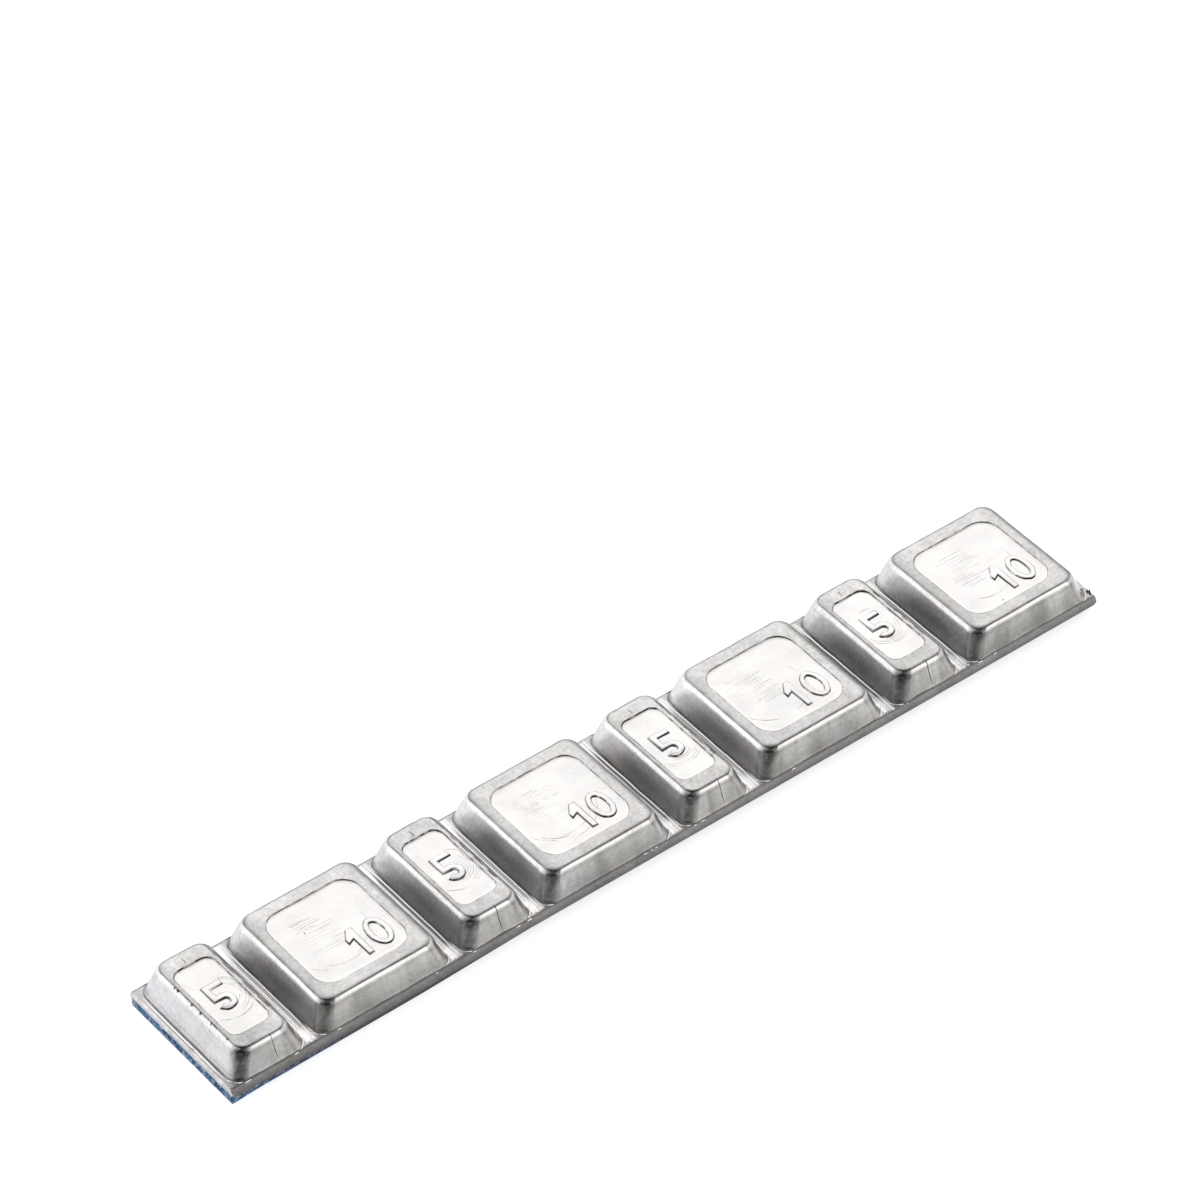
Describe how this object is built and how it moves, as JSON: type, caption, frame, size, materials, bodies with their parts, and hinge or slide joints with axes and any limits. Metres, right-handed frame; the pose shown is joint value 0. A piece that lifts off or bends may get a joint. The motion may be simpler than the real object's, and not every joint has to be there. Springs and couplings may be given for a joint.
{
  "type": "wheel balance weight",
  "caption": "Stick-on wheel balance weight: a cast metal strip of alternating short and long raised segments with sunk, marked panels, on a strip of foam tape.",
  "frame": {"origin": "Under the middle of the strip, in the tape's stuck face, on the surface that the weight is stuck to or lies on.", "axes": "+X runs along the strip and starts each pair with a short segment, +Y runs across it to the top of the numerals, and +Z points from the tape to the marked faces."},
  "size_m": [0.1232, 0.019, 0.0056],
  "materials": {
    "cast_metal": "satin, bright as cast",
    "tape": "matt, speckled foam"
  },
  "bodies": {
    "root": {"weight_strip": "cast_metal", "foam_tape": "tape"}
  },
  "joints": []
}
